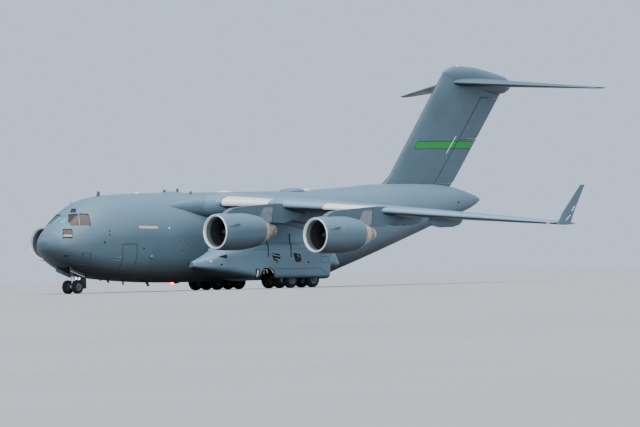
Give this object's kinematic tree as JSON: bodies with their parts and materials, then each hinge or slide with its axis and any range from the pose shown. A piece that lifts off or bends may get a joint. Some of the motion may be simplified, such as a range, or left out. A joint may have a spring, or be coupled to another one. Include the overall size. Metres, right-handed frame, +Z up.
{
  "type": "military transport plane, 1:2 scale model",
  "caption": "High-wing jet transport plane with T-tail, under-wing engines, rear cargo ramp, opening doors, moving control surfaces and turning wheels, as a 1:2 scale model.",
  "frame": {"origin": "on the ground under the middle of the length", "axes": "+X towards the nose, +Y to port, +Z up"},
  "size_m": [26.52, 25.7778, 8.39],
  "materials": {
    "paint": "matt",
    "underside_paint": "matt",
    "nozzle": "heat stained",
    "blades": "satin",
    "glass": "tinted",
    "tyre": "matt",
    "gear": "satin"
  },
  "bodies": {
    "airframe": {"radome": "underside_paint", "forward_fuselage": "paint", "cockpit_glazing": "glass", "front_barrel": "paint", "centre_barrel": "paint", "aft_fuselage": "paint", "tail_cone": "paint", "wing_centre_section": "paint", "wing_port": "paint", "winglet_port": "paint", "wing_starboard": "paint", "winglet_starboard": "paint", "fan_cowl_inner_port": "paint", "core_inner_port": "nozzle", "pylon_inner_port": "paint", "fan_cowl_outer_port": "paint", "core_outer_port": "nozzle", "pylon_outer_port": "paint", "fan_cowl_inner_starboard": "paint", "core_inner_starboard": "nozzle", "pylon_inner_starboard": "paint", "fan_cowl_outer_starboard": "paint", "core_outer_starboard": "nozzle", "pylon_outer_starboard": "paint", "fin": "paint", "tail_bullet": "paint", "stabiliser": "paint", "sponson_port": "underside_paint", "sponson_starboard": "underside_paint", "nose_leg": "gear", "nose_door_port": "underside_paint", "nose_door_starboard": "underside_paint", "nose_door_aft": "underside_paint", "main_leg_front_port": "gear", "main_leg_rear_port": "gear", "main_leg_front_starboard": "gear", "main_leg_rear_starboard": "gear"},
    "crew_door": {"crew_door": "paint"},
    "cargo_ramp": {"cargo_ramp": "underside_paint"},
    "cargo_door": {"cargo_door": "underside_paint"},
    "rudder_lower": {"rudder_lower": "paint"},
    "rudder_upper": {"rudder_upper": "paint"},
    "elevator_port": {"elevator_port": "paint"},
    "aileron_port": {"aileron_port": "paint"},
    "flap_inboard_port": {"flap_inboard_port": "paint"},
    "flap_outboard_port": {"flap_outboard_port": "paint"},
    "fan_inner_port": {"fan_inner_port": "blades"},
    "fan_outer_port": {"fan_outer_port": "blades"},
    "main_wheels_front_port": {"main_wheels_front_port": "tyre"},
    "main_wheels_rear_port": {"main_wheels_rear_port": "tyre"},
    "elevator_starboard": {"elevator_starboard": "paint"},
    "aileron_starboard": {"aileron_starboard": "paint"},
    "flap_inboard_starboard": {"flap_inboard_starboard": "paint"},
    "flap_outboard_starboard": {"flap_outboard_starboard": "paint"},
    "fan_inner_starboard": {"fan_inner_starboard": "blades"},
    "fan_outer_starboard": {"fan_outer_starboard": "blades"},
    "main_wheels_front_starboard": {"main_wheels_front_starboard": "tyre"},
    "main_wheels_rear_starboard": {"main_wheels_rear_starboard": "tyre"},
    "nose_steering": {"nose_leg_steered": "gear"},
    "nose_wheels": {"nose_wheels": "tyre"}
  },
  "joints": [
    {"name": "crew_door_hinge", "type": "hinge", "parent": "airframe", "child": "crew_door", "pos_m": [10.36, 1.435, 0.89], "axis": [-1, 0, 0], "range_deg": [0, 100]},
    {"name": "cargo_ramp_hinge", "type": "hinge", "parent": "airframe", "child": "cargo_ramp", "pos_m": [-0.89, 0, 0.34], "axis": [0, -1, 0], "range_deg": [0, 17.5]},
    {"name": "cargo_door_hinge", "type": "hinge", "parent": "airframe", "child": "cargo_door", "pos_m": [-6.54, 0, 2.25], "axis": [0, -1, 0], "range_deg": [0, 24]},
    {"name": "rudder_lower_hinge", "type": "hinge", "parent": "airframe", "child": "rudder_lower", "pos_m": [-9.2939, 0, 4.7025], "axis": [-0.6696, 0, 0.7427], "range_deg": [-20, 20]},
    {"name": "rudder_upper_hinge", "type": "hinge", "parent": "airframe", "child": "rudder_upper", "pos_m": [-10.76544, 0, 6.375], "axis": [-0.6515, 0, 0.7586], "range_deg": [-20, 20]},
    {"name": "elevator_port_hinge", "type": "hinge", "parent": "airframe", "child": "elevator_port", "pos_m": [-12.52376, 2.6125, 7.55427], "axis": [0.2196, -0.9726, 0.0766], "range_deg": [-20, 20]},
    {"name": "aileron_port_hinge", "type": "hinge", "parent": "airframe", "child": "aileron_port", "pos_m": [-1.05971, 10.775, 2.29067], "axis": [0.3206, -0.9424, 0.0953], "range_deg": [-25, 25]},
    {"name": "flap_inboard_port_hinge", "type": "hinge", "parent": "airframe", "child": "flap_inboard_port", "pos_m": [1.49203, 3.6125, 2.41195], "axis": [0.3095, -0.9482, 0.0719], "range_deg": [0, 40]},
    {"name": "flap_outboard_port_hinge", "type": "hinge", "parent": "airframe", "child": "flap_outboard_port", "pos_m": [0.24703, 7.125, 2.20608], "axis": [0.3465, -0.9337, 0.0904], "range_deg": [0, 40]},
    {"name": "fan_inner_port_spin", "type": "hinge", "parent": "airframe", "child": "fan_inner_port", "pos_m": [7.46172, 3.77132, 2.135], "axis": [0.9972, -0.0741, 0], "continuous": true},
    {"name": "fan_outer_port_spin", "type": "hinge", "parent": "airframe", "child": "fan_outer_port", "pos_m": [5.46172, 6.89632, 1.915], "axis": [0.9972, -0.0741, 0], "continuous": true},
    {"name": "main_wheels_front_port_spin", "type": "hinge", "parent": "airframe", "child": "main_wheels_front_port", "pos_m": [2.475, 1.845, 0.3175], "axis": [0, 1, 0], "continuous": true},
    {"name": "main_wheels_rear_port_spin", "type": "hinge", "parent": "airframe", "child": "main_wheels_rear_port", "pos_m": [1.245, 1.845, 0.3175], "axis": [0, 1, 0], "continuous": true},
    {"name": "elevator_starboard_hinge", "type": "hinge", "parent": "airframe", "child": "elevator_starboard", "pos_m": [-12.52376, -2.6125, 7.55427], "axis": [-0.2196, -0.9726, -0.0766], "range_deg": [-20, 20]},
    {"name": "aileron_starboard_hinge", "type": "hinge", "parent": "airframe", "child": "aileron_starboard", "pos_m": [-1.05971, -10.775, 2.29067], "axis": [-0.3206, -0.9424, -0.0953], "range_deg": [-25, 25]},
    {"name": "flap_inboard_starboard_hinge", "type": "hinge", "parent": "airframe", "child": "flap_inboard_starboard", "pos_m": [1.49203, -3.6125, 2.41195], "axis": [-0.3095, -0.9482, -0.0719], "range_deg": [0, 40]},
    {"name": "flap_outboard_starboard_hinge", "type": "hinge", "parent": "airframe", "child": "flap_outboard_starboard", "pos_m": [0.24703, -7.125, 2.20608], "axis": [-0.3465, -0.9337, -0.0904], "range_deg": [0, 40]},
    {"name": "fan_inner_starboard_spin", "type": "hinge", "parent": "airframe", "child": "fan_inner_starboard", "pos_m": [7.46172, -3.77132, 2.135], "axis": [0.9972, 0.0741, 0], "continuous": true},
    {"name": "fan_outer_starboard_spin", "type": "hinge", "parent": "airframe", "child": "fan_outer_starboard", "pos_m": [5.46172, -6.89632, 1.915], "axis": [0.9972, 0.0741, 0], "continuous": true},
    {"name": "main_wheels_front_starboard_spin", "type": "hinge", "parent": "airframe", "child": "main_wheels_front_starboard", "pos_m": [2.475, -1.845, 0.3175], "axis": [0, 1, 0], "continuous": true},
    {"name": "main_wheels_rear_starboard_spin", "type": "hinge", "parent": "airframe", "child": "main_wheels_rear_starboard", "pos_m": [1.245, -1.845, 0.3175], "axis": [0, 1, 0], "continuous": true},
    {"name": "nose_steering", "type": "hinge", "parent": "airframe", "child": "nose_steering", "pos_m": [11.785, 0, 0.625], "axis": [0, 0, 1], "range_deg": [-65, 65]},
    {"name": "nose_wheels_spin", "type": "hinge", "parent": "nose_steering", "child": "nose_wheels", "pos_m": [11.785, 0, 0.254], "axis": [0, 1, 0], "continuous": true}
  ]
}
